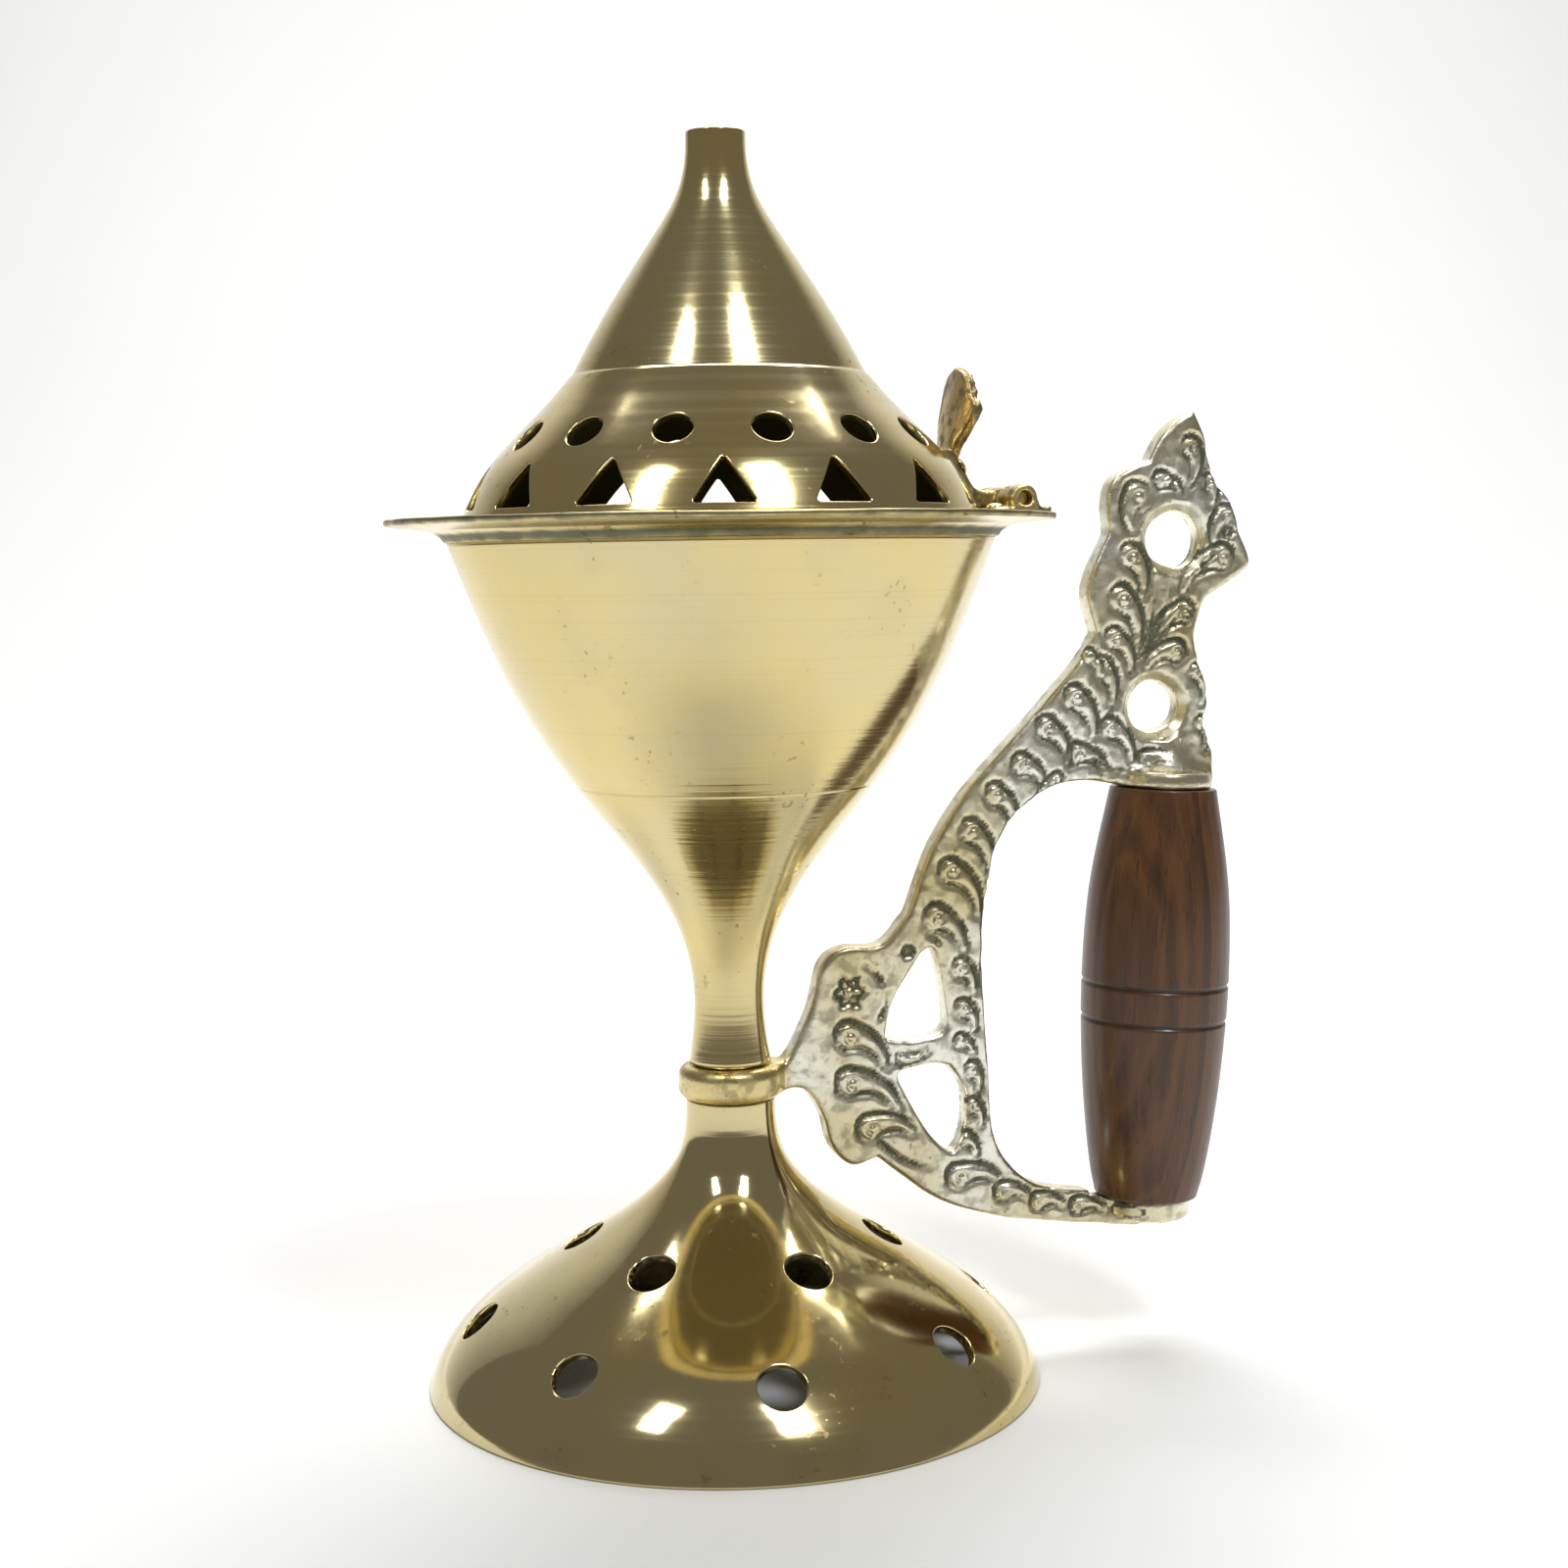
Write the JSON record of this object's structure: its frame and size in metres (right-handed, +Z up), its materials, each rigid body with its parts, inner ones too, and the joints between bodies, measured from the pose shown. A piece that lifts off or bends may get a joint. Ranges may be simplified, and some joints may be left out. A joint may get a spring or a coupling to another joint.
{
  "type": "hand censer",
  "caption": "Standing hand censer: pierced bell foot, funnel-stemmed bowl with rim ring, hinged pierced lid with chimney and thumb leaf, cast side handle with wooden grip.",
  "frame": {"origin": "centre of the foot's resting circle, on the turning axis", "axes": "+Z up along the turning axis of foot, bowl and lid; +X from that axis towards the handle; +Y completes the right-handed frame, along the hinge pin"},
  "size_m": [0.1367, 0.1006, 0.19],
  "materials": {
    "turned_brass": "lathe-turned and polished",
    "cast_brass": "sand cast, tumbled, dark in the hollows",
    "rim_brass": "polished, dulled at the edge",
    "hinge_brass": "rough cast, darkened",
    "fitting_brass": "plain machined",
    "screen_brass": "heat-darkened sheet",
    "grip_wood": "turned hardwood, gloss varnish"
  },
  "bodies": {
    "censer": {"foot": "turned_brass", "stem_stud": "fitting_brass", "foot_washer": "fitting_brass", "foot_nut": "fitting_brass", "handle_casting": "cast_brass", "grip": "grip_wood", "grip_rod": "fitting_brass", "bowl": "turned_brass", "rim_ring": "rim_brass", "hinge_base": "hinge_brass", "base_rivets": "fitting_brass", "hinge_pin": "fitting_brass"},
    "lid": {"lid": "turned_brass", "thumb_lever": "hinge_brass", "lever_rivets": "fitting_brass"},
    "screen": {"charcoal_screen": "screen_brass"}
  },
  "joints": [
    {"name": "lid_hinge", "type": "hinge", "parent": "censer", "child": "lid", "pos_m": [0.0442, 0, 0.13525], "axis": [0, 1, 0], "range_deg": [0, 85]},
    {"name": "screen_lift", "type": "slide", "parent": "censer", "child": "screen", "axis": [0, 0, 1], "range_m": [0, 0.028]}
  ]
}
